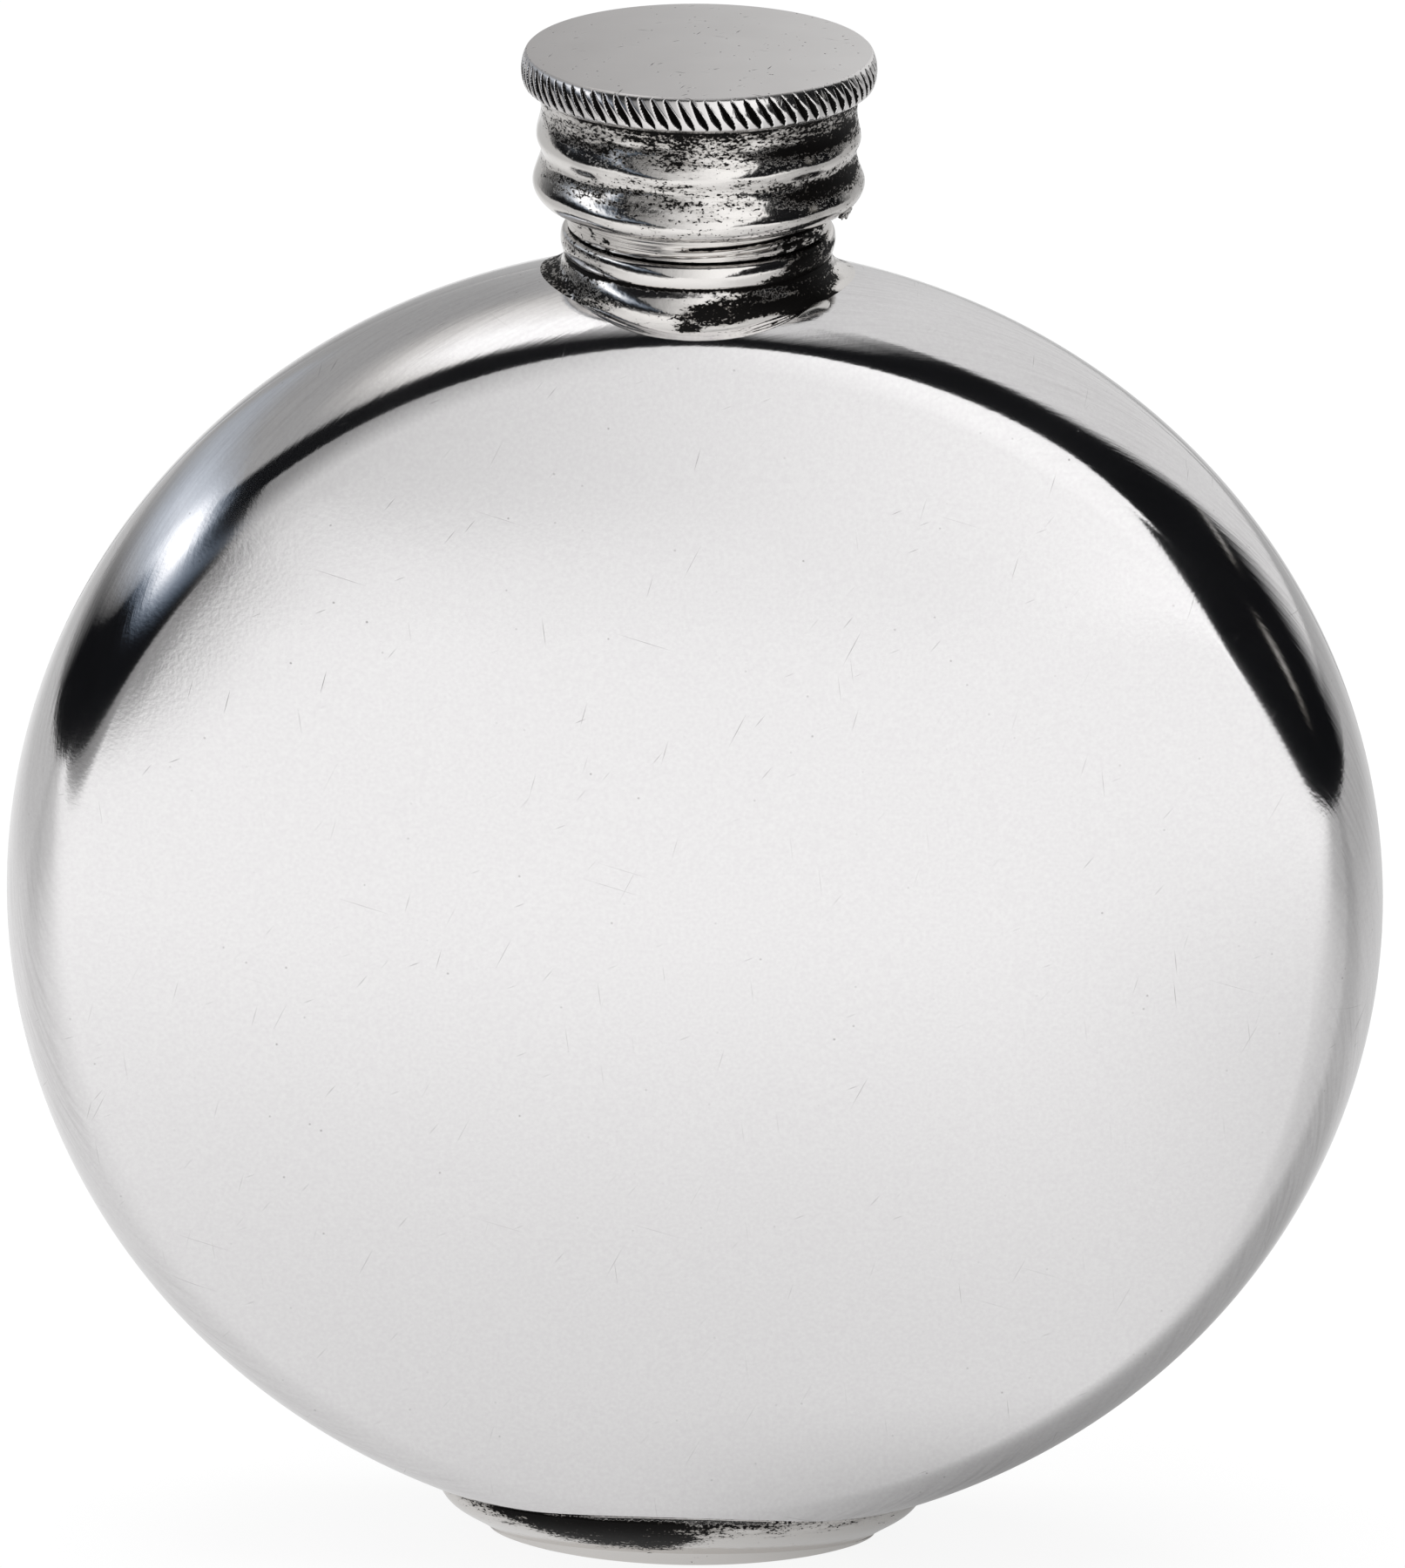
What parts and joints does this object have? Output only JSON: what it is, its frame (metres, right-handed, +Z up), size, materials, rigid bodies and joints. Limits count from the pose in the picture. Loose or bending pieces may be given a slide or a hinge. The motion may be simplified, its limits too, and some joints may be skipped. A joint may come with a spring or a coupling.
{
  "type": "round hip flask",
  "caption": "Round flat-sided metal hip flask with a knurled screw cap on a short threaded neck and a small oval foot to stand on.",
  "frame": {"origin": "middle of the foot's flat base", "axes": "+Z up along the neck, -Y out of the front face, +X to the right seen from the front"},
  "size_m": [0.108, 0.0266, 0.1257],
  "materials": {
    "polished_pewter": "polished pewter with hairline scratches",
    "cast_pewter": "cast pewter, polished on the high spots, dark patina in the hollows",
    "turned_pewter": "lathe-turned pewter with fine tool lines",
    "satin_pewter": "satin pewter with small pits, dark in the knurl cuts",
    "seal": "soft off-white sealing wad"
  },
  "bodies": {
    "flask": {"front_shell": "polished_pewter", "rear_shell": "polished_pewter", "neck_collar": "cast_pewter", "neck_screw": "turned_pewter", "foot": "cast_pewter"},
    "seal": {"cap_seal": "seal"},
    "cap": {"cap_skirt": "cast_pewter", "cap_screw": "turned_pewter", "cap_top": "satin_pewter"}
  },
  "joints": [
    {"name": "cap_lift", "type": "slide", "parent": "flask", "child": "seal", "axis": [0, 0, 1], "range_m": [0, 0.008]},
    {"name": "cap_turn", "type": "hinge", "parent": "seal", "child": "cap", "pos_m": [0, 0, 0.118], "axis": [0, 0, 1], "range_deg": [0, 1440]}
  ],
  "couplings": [
    {"joint": "cap_lift", "follows": "cap_turn", "m_per_rad": 0.00031831}
  ]
}
